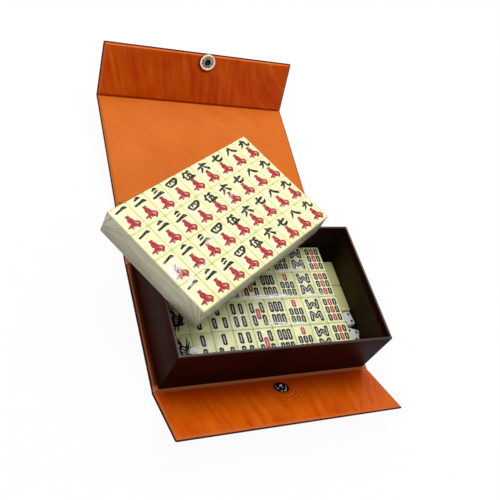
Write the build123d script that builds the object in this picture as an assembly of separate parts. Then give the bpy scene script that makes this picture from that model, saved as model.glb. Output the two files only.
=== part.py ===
from build123d import *
import math
import os

os.makedirs("parts", exist_ok=True)

# A travel mahjong case: a wrap-around cover of five hinged panels, a tray glued to its base
# panel, and two film-wrapped packs of tiles, two spare tiles and two dice.
# Millimetres. X runs along the tray, +Y points to the hinge of the spine, +Z is up.
# The origin lies on the underside of the base panel, below the middle of the tray.

# ---------------------------------------------------------------- driving dimensions

# one tile, and how the tiles are packed
tile_width = 16.15
tile_height = 23.35
tile_thickness = 10.45
tile_bevel = 0.8
tile_gap = 0.05
tile_columns = 9
tile_rows = 4
layers_in_pack = 2
shrink_film = 0.1
shrink_film_clearance = 0.025
shrink_film_bevel = 0.55

# tray: board walls, wrapped outside, lined inside, made to fit its packs of tiles
tray_board = 1.5
tray_paper = 0.25
hem_depth = 6.0
turn_in = 8.0
insert_thickness = 2.15
insert_clearance = 0.3
packs_in_tray = 2
headroom = 0.45

# cover panels: leatherette outside, board, glossy film inside
skin_thickness = 0.4
film_thickness = 0.3
board_thickness = 1.2
cover_side_overhang = 4.2
weld_margin = 2.5
hinge_setback = 2.0
film_edge_inset = 0.8
film_drape = 0.8
corner_radius = 1.2
lid_flap_shortfall = 3.4

# clearances of the closed case
back_clearance = 0.4
front_clearance = 0.9
top_clearance = 0.4
front_flap_clearance = 0.6
flap_gap = 1.0

# how far the cover stands open, in degrees
spine_rest = 6.0
lid_flap_rest = 57.5
front_flap_rest = 28.5

# press stud
snap_x = 5.0
snap_height = 11.0
post_radius = 1.25
post_clearance = 0.05
socket_radius = 6.8
socket_rise = 0.5
cup_radius = 3.9
cup_clearance = 0.1
bore_radius = 2.5
cup_floor = 0.25
spring_wire = 0.25
spring_leg = 2.6
spring_clearance = 0.05
cap_radius = 6.2
cap_height = 1.3
cap_edge = 0.4
post_head_radius = 2.0
post_head = 0.2
stud_radius = 4.5
stud_flange = 0.35
stud_neck_radius = 1.65
stud_neck_top = 0.8
stud_ball_radius = 2.15
stud_ball_middle = 1.2
stud_tip_radius = 1.5
stud_height = 1.8
eyelet_radius = 5.85
eyelet_flange = 0.3
eyelet_dome_radius = 2.9
eyelet_height = 0.7

# where the loose pieces lie
lower_pack_left_gap = 3.1
lower_pack_back_gap = 3.3
lower_pack_front_gap = 1.9
top_pack_shift_x = -26.3
top_pack_shift_y = 47.2
top_pack_turn = 32.0
spare_pack_gap = 0.45
spare_side_gap = 0.3
spare_back_gap = 11.0
spare_spacing = 0.3
die_size = 12.0
die_bevel = 1.3
die_wall_gap = 2.0
die_places = [(1.9, 8.0), (16.4, -20.0)]

# ---------------------------------------------------------------- sizes that follow

tile_pitch_x = tile_width + tile_gap
tile_pitch_y = tile_height + tile_gap
tile_pitch_z = tile_thickness + tile_gap
film_inset = shrink_film + shrink_film_clearance
pack_length = tile_columns * tile_pitch_x - tile_gap + 2 * film_inset
pack_depth = tile_rows * tile_pitch_y - tile_gap + 2 * film_inset
pack_height = layers_in_pack * tile_pitch_z - tile_gap + 2 * film_inset

web = skin_thickness + film_thickness
rise = board_thickness
panel_thickness = web + rise

tray_bottom = panel_thickness
bottom_board_low = tray_bottom + tray_paper
bottom_board_top = bottom_board_low + tray_board
lining_top = bottom_board_top + tray_paper
tray_floor = lining_top + insert_thickness
tray_top = tray_floor + packs_in_tray * pack_height + headroom
tray_height = tray_top - tray_bottom
tray_wall = tray_board + 2 * tray_paper
end_gap = spare_pack_gap + tile_width + spare_side_gap
inside_length = lower_pack_left_gap + pack_length + end_gap
inside_width = lower_pack_back_gap + pack_depth + lower_pack_front_gap
tray_length = inside_length + 2 * tray_wall
tray_width = inside_width + 2 * tray_wall
cover_width = tray_length + 2 * cover_side_overhang

back_hinge_y = tray_width / 2 + back_clearance + rise
front_hinge_y = tray_width / 2 + front_clearance + rise
spine_length = tray_height + top_clearance + 2 * rise
front_flap_length = spine_length - rise - front_flap_clearance
lid_flap_length = spine_length - lid_flap_shortfall
lid_length = back_hinge_y + front_hinge_y + web + flap_gap + rise
socket_distance = spine_length - snap_height


# ---------------------------------------------------------------- helpers


def slab(width, y_low, y_high, z_low, z_high):
    """A box centred on X, between two Y and two Z values."""
    middle = Pos(0, (y_low + y_high) / 2, (z_low + z_high) / 2)
    return middle * Box(width, y_high - y_low, z_high - z_low)


def ring(length, width, thickness, z_low, z_high):
    """A rectangular ring with the given outer size and wall thickness."""
    outer = slab(length, -width / 2, width / 2, z_low, z_high)
    inner = slab(
        length - 2 * thickness, thickness - width / 2, width / 2 - thickness, z_low, z_high
    )
    return outer - inner


def turned(*points):
    """A solid turned about Z from the points of its profile, given in the XZ plane."""
    return revolve(make_face(Polyline(*points, close=True)), Axis.Z, 360)


def dome(radius, base, top, steps=3):
    """Points from the rim of a low dome to its crown, which lies on the axis of turning."""
    rim_to_crown = [math.sin(math.radians(90 * step / steps)) for step in range(steps + 1)]
    return [(radius * (1 - s), 0, base + (top - base) * (1 - (1 - s) ** 2)) for s in rim_to_crown]


def round_free_corners(shape, radius):
    """Rounds the two upright edges at the panel's free end."""
    upright = shape.edges().filter_by(Axis.Z).sort_by(Axis.Y)
    return fillet(upright[-2:], radius)


def save(name, shape, place=Location()):
    export_step(place * shape, f"parts/{name}.step")


# ---------------------------------------------------------------- cover panels
# Every panel is drawn flat, with its hinge line on X at the height of the film's inner face
# beside the board. The skin and the film run on past the board and are welded together there,
# and the thin weld between two boards is the hinge.


def make_panel(name, place, low, high, free_end=False, hole=None):
    """Writes a panel's board, skin and film; hole is (x, y, board hole radius)."""
    board_end = high - (weld_margin if free_end else hinge_setback)
    board_width = cover_width - 2 * weld_margin
    film_end = high - (film_edge_inset if free_end else 0)

    skin = slab(cover_width, low, high, -web, -film_thickness)
    board = slab(
        board_width, low + hinge_setback, board_end, -film_thickness, rise - film_thickness
    )
    film = slab(cover_width - 2 * film_edge_inset, low, film_end, -film_thickness, 0)
    if free_end:
        skin = round_free_corners(skin, corner_radius)
        film = round_free_corners(film, corner_radius)

    # the film drapes over the board's edges down to the weld
    foot = Rectangle(
        board_width + 2 * film_drape, board_end - low - hinge_setback + 2 * film_drape
    )
    slope = math.degrees(math.atan((film_drape - film_thickness) / rise))
    middle = Pos(0, (board_end + low + hinge_setback) / 2, 0)
    film = film + middle * extrude(foot, rise, taper=slope) - board

    if hole:
        x, y, board_hole = hole
        through = Pos(x, y, 0) * Cylinder(post_radius + post_clearance, 4 * panel_thickness)
        wide = Pos(x, y, rise) * Cylinder(board_hole, 2 * (rise + film_thickness))
        skin = skin - through
        board = board - through - wide
        film = film - through - wide

    save(f"{name}_outer_skin", skin, place)
    save(f"{name}_board", board, place)
    save(f"{name}_lining", film, place)


# base: lies on the table under the tray
base_place = Pos(0, 0, web)
base_skin_low = -front_hinge_y
make_panel("base", base_place, base_skin_low, back_hinge_y)

# spine, lid and lid flap: each hinged to the end of the one before
spine_place = Pos(0, back_hinge_y, web) * Rot(spine_rest, 0, 0)
make_panel("spine", spine_place, 0, spine_length)

lid_place = spine_place * Pos(0, spine_length, 0)
make_panel("lid", lid_place, 0, lid_length)

lid_flap_place = lid_place * Pos(0, lid_length, 0) * Rot(lid_flap_rest, 0, 0)
socket_hole = (snap_x, socket_distance, cup_radius + cup_clearance)
make_panel("lid_flap", lid_flap_place, 0, lid_flap_length, True, socket_hole)

# front flap: drawn the same way and turned round, so it points to -Y
front_flap_place = Pos(0, -front_hinge_y, web) * Rot(-front_flap_rest, 0, 0) * Rot(0, 0, 180)
stud_hole = (-snap_x, snap_height, post_radius + post_clearance)
make_panel("front_flap", front_flap_place, 0, front_flap_length, True, stud_hole)

# ---------------------------------------------------------------- press stud, lid flap half
# The socket is pressed into the board from the film side. A bent spring wire crosses its bore
# on both sides and grips the stud's neck. The cap outside is riveted through the panel.

socket_place = lid_flap_place * Pos(snap_x, socket_distance, 0)
socket_top = rise + socket_rise
floor_top = cup_floor - film_thickness
roll = socket_rise / 2

socket = turned(
    (socket_radius, 0, rise),
    (socket_radius, 0, rise + roll),
    (socket_radius - roll, 0, socket_top),
    (socket_radius - 3 * roll, 0, socket_top - roll / 2),
    (bore_radius + 2 * roll, 0, socket_top - roll / 2),
    (bore_radius + roll, 0, socket_top),
    (bore_radius, 0, socket_top - roll),
    (bore_radius, 0, floor_top),
    (post_radius + post_clearance, 0, floor_top),
    (post_radius + post_clearance, 0, -film_thickness),
    (cup_radius, 0, -film_thickness),
    (cup_radius, 0, rise),
)

spring_side = stud_neck_radius + spring_clearance + spring_wire / 2
spring_height = socket_top - roll


def spring_outline(half_width):
    """A bow that is round at one end and cut off straight at the other."""
    legs = Rectangle(2 * half_width, 2 * spring_leg)
    return legs + Pos(0, spring_leg) * Circle(half_width)


def spring_solid(width):
    """The spring's two legs and their bend, of square wire; wider, it is its groove."""
    flat = spring_outline(spring_side + width / 2) - spring_outline(spring_side - width / 2)
    return Pos(0, 0, spring_height - width / 2) * extrude(flat, width)


socket = socket - spring_solid(spring_wire + 2 * spring_clearance)
save("snap_socket", socket, socket_place)
save("snap_spring", spring_solid(spring_wire), socket_place)

# cap: domed outside, its post riveted over inside the socket
cap = turned(
    (0, 0, floor_top + post_head),
    (post_head_radius - post_head, 0, floor_top + post_head),
    (post_head_radius, 0, floor_top),
    (post_radius, 0, floor_top),
    (post_radius, 0, -web),
    (cap_radius, 0, -web),
    *dome(cap_radius, -web - cap_edge, -web - cap_height),
)
save("snap_cap", cap, socket_place)

# ---------------------------------------------------------------- press stud, front flap half
# The stud stands on the leatherette; the eyelet's post comes through the flap and holds it.

stud_place = front_flap_place * Pos(-snap_x, snap_height, 0)
stud_inner = post_radius + post_clearance

stud = turned(
    (stud_inner, 0, -web),
    (stud_radius, 0, -web),
    (stud_radius - stud_flange, 0, -web - stud_flange),
    (stud_neck_radius, 0, -web - stud_flange),
    (stud_neck_radius, 0, -web - stud_neck_top),
    (stud_ball_radius, 0, -web - stud_ball_middle),
    (stud_ball_radius, 0, -web - stud_ball_middle - (stud_ball_radius - stud_tip_radius) / 2),
    (stud_tip_radius, 0, -web - stud_height),
    (stud_inner, 0, -web - stud_height),
)
save("snap_stud", stud, stud_place)

eyelet_groove = rise + 0.6 * eyelet_flange
eyelet = turned(
    (0, 0, -web - stud_height),
    (post_radius, 0, -web - stud_height),
    (post_radius, 0, rise),
    (eyelet_radius, 0, rise),
    (eyelet_radius, 0, rise + eyelet_flange),
    (eyelet_radius - eyelet_flange, 0, rise + 2 * eyelet_flange),
    (eyelet_radius - 3 * eyelet_flange, 0, rise + 2 * eyelet_flange),
    (eyelet_radius - 5 * eyelet_flange, 0, eyelet_groove),
    *dome(eyelet_dome_radius, eyelet_groove, rise + eyelet_height),
)
save("snap_eyelet", eyelet, stud_place)

# ---------------------------------------------------------------- tray
# Five boards, glued at their edges. The wrap is one sheet: under the bottom's edge, up the
# outside, over the rim and down inside as a hem. Dark paper lines the rest.

board_low = bottom_board_low
board_high = tray_top - tray_paper
board_span_x = tray_length - 2 * tray_paper
board_span_y = tray_width - 2 * tray_paper
side_span_y = board_span_y - 2 * tray_board

long_wall = slab(board_span_x, -tray_board, 0, board_low, board_high)
save("tray_back_board", long_wall, Pos(0, board_span_y / 2, 0))
save("tray_front_board", long_wall, Pos(0, tray_board - board_span_y / 2, 0))

end_wall = slab(tray_board, -side_span_y / 2, side_span_y / 2, board_low, board_high)
save("tray_right_board", end_wall, Pos((board_span_x - tray_board) / 2, 0, 0))
save("tray_left_board", end_wall, Pos((tray_board - board_span_x) / 2, 0, 0))

bottom_board = slab(
    board_span_x - 2 * tray_board, -side_span_y / 2, side_span_y / 2, board_low, bottom_board_top
)
save("tray_bottom_board", bottom_board)

hem_low = tray_top - tray_paper - hem_depth
wrap = ring(tray_length, tray_width, tray_paper, tray_bottom, tray_top)
wrap += ring(tray_length, tray_width, turn_in, tray_bottom, bottom_board_low)
wrap += ring(tray_length, tray_width, tray_wall, board_high, tray_top)
wrap += ring(
    inside_length + 2 * tray_paper, inside_width + 2 * tray_paper, tray_paper, hem_low, tray_top
)
save("tray_wrap", wrap)

lined_length = inside_length + 2 * tray_paper
lined_width = inside_width + 2 * tray_paper
lining = ring(lined_length, lined_width, tray_paper, bottom_board_top, hem_low)
lining += slab(lined_length, -lined_width / 2, lined_width / 2, bottom_board_top, lining_top)
save("tray_lining", lining)

insert = slab(
    inside_length - 2 * insert_clearance,
    insert_clearance - inside_width / 2,
    inside_width / 2 - insert_clearance,
    lining_top,
    tray_floor,
)
save("tray_insert", insert)

# ---------------------------------------------------------------- tiles
# A tile is a block with bevelled edges. A pack is two layers of nine by four, in one tight
# film that is cut back at its corners as the tiles are.


def tile():
    body = Box(tile_width, tile_height, tile_thickness)
    return chamfer(body.edges(), tile_bevel)


def tile_layer(layer):
    """One layer of tiles; the pack's middle is at x = y = 0 and its underside at z = 0."""
    z = film_inset + tile_thickness / 2 + layer * tile_pitch_z
    one = tile()
    tiles = []
    for row in range(tile_rows):
        for column in range(tile_columns):
            x = (column - (tile_columns - 1) / 2) * tile_pitch_x
            y = (row - (tile_rows - 1) / 2) * tile_pitch_y
            tiles.append(Pos(x, y, z) * one)
    return Compound(tiles)


def pack_film():
    outer = Box(pack_length, pack_depth, pack_height)
    inner = Box(
        pack_length - 2 * shrink_film,
        pack_depth - 2 * shrink_film,
        pack_height - 2 * shrink_film,
    )
    outer = chamfer(outer.edges(), shrink_film_bevel)
    inner = chamfer(inner.edges(), shrink_film_bevel)
    return Pos(0, 0, pack_height / 2) * (outer - inner)


lower_pack_x = (pack_length - inside_length) / 2 + lower_pack_left_gap
lower_pack_y = (inside_width - pack_depth) / 2 - lower_pack_back_gap
lower_pack_place = Pos(lower_pack_x, lower_pack_y, tray_floor)

# the top pack was lifted out and lies on the tray's left and back rims
top_pack_x = lower_pack_x + top_pack_shift_x
top_pack_y = lower_pack_y + top_pack_shift_y
top_pack_place = Pos(top_pack_x, top_pack_y, tray_top) * Rot(0, 0, top_pack_turn)

for pack_name, pack_place in (("lower", lower_pack_place), ("top", top_pack_place)):
    for layer in range(layers_in_pack):
        save(f"{pack_name}_tiles_{layer + 1}", tile_layer(layer), pack_place)
    save(f"{pack_name}_pack_film", pack_film(), pack_place)

# two blank spares, end to end beside the right wall
spare_x = inside_length / 2 - spare_side_gap - tile_width / 2
spare_first_y = inside_width / 2 - spare_back_gap - tile_height / 2
for number in range(2):
    spare_y = spare_first_y - number * (tile_height + spare_spacing)
    save(f"spare_tile_{number + 1}", tile(), Pos(spare_x, spare_y, tray_floor + tile_thickness / 2))

# two dice on the floor in front of them, with bevelled edges
spares_front_y = spare_first_y - (tile_height + spare_spacing) - tile_height / 2
die_x = inside_length / 2 - die_wall_gap - die_size / 2
for number, (die_gap, die_turn) in enumerate(die_places):
    die = Box(die_size, die_size, die_size)
    die = chamfer(die.edges(), die_bevel)
    die_y = spares_front_y - die_gap - die_size / 2
    die_place = Pos(die_x, die_y, tray_floor + die_size / 2) * Rot(0, 0, die_turn)
    save(f"die_{number + 1}", die, die_place)

# ---------------------------------------------------------------- what the record needs

for name, place in (
    ("spine", spine_place),
    ("lid", lid_place),
    ("lid_flap", lid_flap_place),
    ("front_flap", front_flap_place),
):
    hinge = place.position
    print(f"{name} hinge line at y {hinge.Y:.4f} z {hinge.Z:.4f}")
print(f"tray floor {tray_floor:.3f}, top {tray_top:.3f}, inside {inside_length:.3f} x {inside_width:.3f}")
print(f"pack {pack_length:.3f} x {pack_depth:.3f} x {pack_height:.3f}")
print(f"lower pack middle {lower_pack_x:.3f}, {lower_pack_y:.3f}; spares x {spare_x:.3f}")
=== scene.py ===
import math

import bmesh
import bpy
from mathutils import Matrix, Vector, noise


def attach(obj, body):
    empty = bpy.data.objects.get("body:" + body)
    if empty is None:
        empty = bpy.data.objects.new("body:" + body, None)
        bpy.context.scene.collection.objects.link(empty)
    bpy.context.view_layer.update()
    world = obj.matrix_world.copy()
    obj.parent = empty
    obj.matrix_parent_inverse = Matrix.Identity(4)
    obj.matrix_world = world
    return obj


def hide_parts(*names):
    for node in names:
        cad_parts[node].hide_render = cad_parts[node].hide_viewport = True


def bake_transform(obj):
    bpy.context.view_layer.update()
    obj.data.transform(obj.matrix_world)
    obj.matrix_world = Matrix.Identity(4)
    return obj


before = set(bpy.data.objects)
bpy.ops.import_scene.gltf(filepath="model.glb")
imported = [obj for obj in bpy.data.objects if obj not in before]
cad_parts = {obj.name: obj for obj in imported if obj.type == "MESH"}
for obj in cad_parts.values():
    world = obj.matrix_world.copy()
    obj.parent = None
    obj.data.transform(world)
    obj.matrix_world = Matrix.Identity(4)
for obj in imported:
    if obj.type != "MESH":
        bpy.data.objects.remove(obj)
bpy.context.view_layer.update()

# ------------------------------------------------------------ table, light and viewpoint
# The case stands on a plain pale table under one broad soft lamp and an even pale room. The
# table and the room look white to the camera, and the table keeps the case's shadow.


class Value:
    """A socket that can be written in sums; each sum adds a Math node."""

    def __init__(self, finish, socket):
        self.finish = finish
        self.socket = socket

    def math(self, operation, *terms):
        inputs = dict(enumerate(terms))
        return self.finish.node("Math", {"operation": operation}, inputs)

    def __add__(self, other):
        return self.math("ADD", self, other)

    def __radd__(self, other):
        return self.math("ADD", other, self)

    def __sub__(self, other):
        return self.math("SUBTRACT", self, other)

    def __rsub__(self, other):
        return self.math("SUBTRACT", other, self)

    def __mul__(self, other):
        return self.math("MULTIPLY", self, other)

    def __rmul__(self, other):
        return self.math("MULTIPLY", other, self)

    def __truediv__(self, other):
        return self.math("DIVIDE", self, other)


class Finish:
    """A material, or the room's light, and the one method that adds nodes to it."""

    def __init__(self, name, owner=None):
        self.owner = owner or bpy.data.materials.new(name)
        self.owner.use_nodes = True
        self.tree = self.owner.node_tree

    def node(self, kind, settings=None, inputs=None, out=0):
        made = self.tree.nodes.new("ShaderNode" + kind)
        for name, value in (settings or {}).items():
            if name == "stops":
                for position, colour in value[2:]:
                    made.color_ramp.elements.new(position)
                for element, (position, colour) in zip(made.color_ramp.elements, sorted(value)):
                    element.position = position
                    element.color = colour
            else:
                setattr(made, name, value)
        self.feed(made, inputs or {})
        return Value(self, made.outputs[out])

    def feed(self, node, inputs):
        for name, value in inputs.items():
            if isinstance(value, Value):
                self.tree.links.new(value.socket, node.inputs[name])
            else:
                node.inputs[name].default_value = value

    def mix(self, factor, first, second):
        """The first colour, turning into the second as the factor goes from 0 to 1."""
        return self.node("Mix", {"data_type": "RGBA"}, {0: factor, 6: first, 7: second}, 2)

    def fade(self, value, start, end):
        """0 before start and 1 after end, with a soft passage between them."""
        settings = {"interpolation_type": "SMOOTHSTEP"}
        inputs = {"Value": value, "From Min": start, "From Max": end}
        return self.node("MapRange", settings, inputs)

    def stretched(self, vector, scale, turn=0.0):
        """The vector turned about Z by so many degrees and then scaled."""
        turned = self.node(
            "Mapping", {}, {"Vector": vector, "Rotation": (0, 0, math.radians(turn))}
        )
        return self.node("Mapping", {}, {"Vector": turned, "Scale": scale})

    def cloud(self, vector, scale=1.0, detail=2.0, roughness=0.5, distortion=0.0):
        inputs = {
            "Vector": vector,
            "Scale": scale,
            "Detail": detail,
            "Roughness": roughness,
            "Distortion": distortion,
        }
        return self.node("TexNoise", {}, inputs)

    def bump(self, height, strength, distance):
        inputs = {"Strength": strength, "Distance": distance, "Height": height}
        return self.node("Bump", {}, inputs)

    def place(self):
        return self.node("TexCoord", {}, {}, "Object")

    def skin(self, **inputs):
        """Sets the main shader's sockets, written with _ for a space."""
        main = self.tree.nodes["Principled BSDF"]
        self.feed(main, {name.replace("_", " "): value for name, value in inputs.items()})
        return self.owner


def shade(red, green, blue):
    """A colour as read off a screen, from 0 to 255, for a shader's socket."""
    screen = [channel / 255 for channel in (red, green, blue)]
    linear = [c / 12.92 if c <= 0.04045 else ((c + 0.055) / 1.055) ** 2.4 for c in screen]
    return (*linear, 1.0)


def looked_at(finish):
    """1 where the camera sees the surface, straight, in a gloss or through clear film."""
    rays = finish.node("LightPath").socket.node
    straight, glossy, through = (
        Value(finish, rays.outputs[f"Is {ray} Ray"])
        for ray in ("Camera", "Glossy", "Transmission")
    )
    return straight.math("MINIMUM", straight + glossy + through, 1.0)


room_level = 0.56
floor_glow = 0.95
floor_half = 3.0
floor_drop = 0.0003

room_finish = Finish("room", bpy.data.worlds.new("room"))
bpy.context.scene.world = room_finish.owner
room_strength = room_level + (1 - room_level) * looked_at(room_finish)
room_finish.feed(
    room_finish.tree.nodes["Background"],
    {"Color": shade(255, 255, 255), "Strength": room_strength},
)

floor_finish = Finish("table_top")
glow = floor_finish.node("Emission", {}, {"Color": shade(255, 255, 255), "Strength": 1.0})
speckle = floor_finish.cloud(floor_finish.place(), 60.0)
floor_finish.skin(
    Base_Color=floor_finish.mix(speckle, shade(236, 236, 235), shade(240, 240, 240)),
    Roughness=0.9,
)
lit = Value(floor_finish, floor_finish.tree.nodes["Principled BSDF"].outputs[0])
shown = looked_at(floor_finish) * floor_glow
mixed = floor_finish.node("MixShader", {}, {0: shown, 1: lit, 2: glow})
floor_finish.feed(floor_finish.tree.nodes["Material Output"], {"Surface": mixed})

bm = bmesh.new()
bmesh.ops.create_grid(bm, x_segments=1, y_segments=1, size=floor_half)
bmesh.ops.translate(bm, verts=bm.verts, vec=(0, 0, -floor_drop))
floor_mesh = bpy.data.meshes.new("floor")
bm.to_mesh(floor_mesh)
bm.free()
floor_mesh.materials.append(floor_finish.owner)
floor = bpy.data.objects.new("floor", floor_mesh)
bpy.context.scene.collection.objects.link(floor)


def lamp(name, place, target, size, power):
    """A square soft lamp that faces the target."""
    light = bpy.data.lights.new(name, "AREA")
    light.shape = "SQUARE"
    light.size = size
    light.energy = power
    thing = bpy.data.objects.new(name, light)
    aim = (Vector(target) - Vector(place)).to_track_quat("-Z", "Y")
    thing.matrix_world = Matrix.LocRotScale(Vector(place), aim, None)
    bpy.context.scene.collection.objects.link(thing)


lamp("broad_lamp", (0.35, 0.75, 1.5), (0, 0.05, 0), 1.2, 20.0)

camera_place = Vector((-0.25502, -0.23612, 0.4459))
camera_right = Vector((0.8759, -0.28136, 0.39196))
camera_down = Vector((0.00599, -0.80597, -0.59192))
camera_forward = Vector((0.48245, 0.52081, -0.70427))
lens = bpy.data.cameras.new("viewpoint")
lens.sensor_width = 36.0
lens.lens = 52.19
lens.shift_x = -0.0436
lens.shift_y = -0.0604
lens.clip_start = 0.01
viewpoint = bpy.data.objects.new("viewpoint", lens)
axes = Matrix((camera_right, -camera_down, -camera_forward)).transposed()
viewpoint.matrix_world = Matrix.Translation(camera_place) @ axes.to_4x4()
bpy.context.scene.collection.objects.link(viewpoint)
bpy.context.scene.camera = viewpoint
bpy.context.scene.view_settings.view_transform = "Standard"

# ------------------------------------------------------------ cover: boards and outer skins
# One sheet of dark brown leatherette is the outside of the whole cover. It holds a greyboard
# in each of its five panels, and thin welds between the boards are the hinges.

panel_names = ("base", "spine", "lid", "lid_flap", "front_flap")


def dress(node, material):
    """Gives a CAD piece a finish in place of its plain one."""
    for material_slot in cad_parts[node].material_slots:
        material_slot.material = material


def leatherette(name, low, high, gloss, shiny_above=None, grain_depth=0.00012):
    """Embossed vinyl: small pebbles with fine creases, darker in the hollows."""
    finish = Finish(name)
    place = finish.place()
    pebbles = finish.node(
        "TexVoronoi", {"feature": "SMOOTH_F1"}, {"Vector": place, "Scale": 1500.0}
    )
    creases = finish.cloud(place, 420.0, 6.0, 0.6)
    patches = finish.cloud(place, 26.0, 3.0)
    grain = pebbles * 0.6 + creases * 0.8
    worn = finish.fade(patches, 0.3, 0.75)
    colour = finish.mix(worn, shade(*low), shade(*high))
    hollow = 1 - finish.fade(grain, 0.35, 0.75)
    colour = finish.mix(hollow * 0.35, colour, shade(16, 5, 3))
    if shiny_above:
        height = finish.node("SeparateXYZ", {}, {"Vector": place}, "Z")
        finish.skin(
            Coat_Weight=finish.fade(height, shiny_above - 0.0004, shiny_above) * 0.7,
            Coat_Roughness=0.22,
        )
    return finish.skin(
        Base_Color=colour,
        Roughness=0.36 + 0.16 * creases,
        Specular_IOR_Level=gloss,
        Normal=finish.bump(grain, 0.35, grain_depth),
    )


def greyboard(name):
    """Pressed waste paper: grey-brown with short fibres."""
    finish = Finish(name)
    place = finish.place()
    fibres = finish.cloud(finish.stretched(place, (700, 2500, 2500)), 1.0, 4.0, 0.7)
    blotches = finish.cloud(place, 180.0, 3.0)
    colour = finish.mix(fibres, shade(118, 108, 96), shade(160, 150, 136))
    colour = finish.mix(blotches * 0.4, colour, shade(96, 88, 80))
    return finish.skin(
        Base_Color=colour, Roughness=0.85, Normal=finish.bump(fibres, 0.3, 0.00005)
    )


cover_leatherette = leatherette("leatherette_cover", (52, 22, 14), (70, 34, 22), 0.06)
board_finish = greyboard("greyboard")
for panel in panel_names:
    dress(panel + "_outer_skin", cover_leatherette)
    dress(panel + "_board", board_finish)

# ------------------------------------------------------------ cover: orange lining film
# A glossy orange film lines the inside. It is laid loose over the boards and welded to the
# outer skin round its edge and between the boards, so it ripples on the flaps and the lid.

mm = 0.001
half_cover = 89.2
film_inset = 0.8
board_margin = 2.5
board_setback = 2.0
board_top = 1.2
film_over_board = 0.3
film_foot = 0.8
film_sheet_thickness = 0.2
half_board = half_cover - board_margin


def seat(y, z, tilt, turned=False):
    """Where a panel's own millimetres lie at rest: hinge line at y, z, tilted about it."""
    place = Matrix.Translation((0, y * mm, z * mm))
    place = place @ Matrix.Rotation(math.radians(-tilt if turned else tilt), 4, "X")
    if turned:
        place = place @ Matrix.Rotation(math.pi, 4, "Z")
    return place @ Matrix.Scale(mm, 4)


# name: (place, low end, high end, has a free end, body)
panels = {
    "base": (seat(0, 0.7, 0), -53.6, 53.1, False, "case"),
    "spine": (seat(53.1, 0.7, 6.0), 0.0, 49.8, False, "spine"),
    "lid": (seat(102.6272, 5.9055, 6.0), 0.0, 109.6, False, "lid"),
    "lid_flap": (seat(211.6268, 17.3618, 63.5), 0.0, 46.4, True, "lid_flap"),
    "front_flap": (seat(-53.6, 0.7, 28.5, True), 0.0, 48.0, True, "front_flap"),
}
socket_at = (5.0, 38.8)
eyelet_at = (-5.0, 11.0)


def make_piece(name, bm, material, smooth=True):
    """Turns a bmesh, already in its place in metres, into an object of the scene."""
    mesh = bpy.data.meshes.new(name)
    bm.to_mesh(mesh)
    bm.free()
    mesh.polygons.foreach_set("use_smooth", [smooth] * len(mesh.polygons))
    mesh.materials.append(material)
    thing = bpy.data.objects.new(name, mesh)
    bpy.context.scene.collection.objects.link(thing)
    return thing


def streaks(x, y, across, along, seed):
    """A smooth wavy height between -1 and 1, long in Y and narrow in X."""
    return noise.noise((x / across, y / along, seed))


def streak_start(panel, x, y):
    """The x at which a streak through the point would start: the streaks lean and wander."""
    if panel == "lid_flap":
        lean = 0.2 + 0.14 * max(0.0, -x / 88) + 1.3 * max(0.0, (x - 30) / 58) ** 2
        return x + lean * (y - 23) + 2.0 * noise.noise((x / 30, y / 24, 3.1))
    if panel == "front_flap":
        lean = 0.08 - 0.7 * max(0.0, (-x - 10) / 78)
        return x + lean * (y - 20) + 3.0 * noise.noise((x / 26, y / 20, 8.4))
    if panel == "lid":
        return x * math.cos(math.radians(58)) + y * math.sin(math.radians(58))
    return x


def ripple(panel, x, y):
    """How far the loose film stands off its board at a point of the panel, in mm."""
    start = streak_start(panel, x, y)
    if panel == "lid_flap":
        from_stud = math.hypot(x - socket_at[0], y - socket_at[1])
        calm = min(1.0, max(0.0, (from_stud - 7) / 8))
        return calm * (
            0.2 * streaks(start, y, 6.5, 42.0, 1.3) + 0.13 * streaks(start, y, 2.9, 24.0, 5.2)
        )
    if panel == "front_flap":
        from_stud = math.hypot(x - eyelet_at[0], y - eyelet_at[1])
        past_stud = math.atan2(y - eyelet_at[1], x - eyelet_at[0])
        facing = max(0.0, math.cos(past_stud - math.radians(105)))
        near = min(1.0, max(0.0, (from_stud - 5.5) / 1.5)) * math.exp(-abs(from_stud - 9) / 5)
        outside = min(1.0, max(0.0, (from_stud - 9) / 6))
        return 0.34 * math.sin(1.8 * from_stud - 2.42) * facing * near + outside * (
            0.2 * streaks(start, y, 5.5, 30.0, 9.1) + 0.12 * streaks(start, y, 2.6, 22.0, 4.4)
        )
    if panel == "lid":
        along = y * math.cos(math.radians(58)) - x * math.sin(math.radians(58))
        near_crease = min(1.0, max(0.0, (y - 40) / 60))
        patch = math.exp(-(((x - 25) / 35) ** 2) - ((y - 90) / 22) ** 2)
        height = 0.03 + 0.08 * near_crease + 0.16 * patch
        sag = 0.1 * noise.noise((x / 28, y / 28, 6.0))
        return height * streaks(start, along, 5.0, 40.0, 2.2) + sag
    if panel == "spine":
        return 0.12 * streaks(x, y, 9.0, 40.0, 4.4)
    return 0.0


def widen(bm, half_width, near, far, height):
    """Draws the sheet's outer edge out to a wider rectangle at another height."""
    rim = [edge for edge in bm.edges if edge.is_boundary]
    grown = bmesh.ops.extrude_edge_only(bm, edges=rim)["geom"]
    verts = [part for part in grown if isinstance(part, bmesh.types.BMVert)]
    old_half = max(vert.co.x for vert in verts)
    old_near = min(vert.co.y for vert in verts)
    old_far = max(vert.co.y for vert in verts)
    centre = Vector((0, (old_near + old_far) / 2, verts[0].co.z))
    scale = (half_width / old_half, (far - near) / (old_far - old_near), 0)
    bmesh.ops.scale(bm, vec=scale, space=Matrix.Translation(-centre), verts=verts)
    shift = (0, (near + far) / 2 - centre.y, height - centre.z)
    bmesh.ops.translate(bm, vec=shift, verts=verts)


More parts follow.
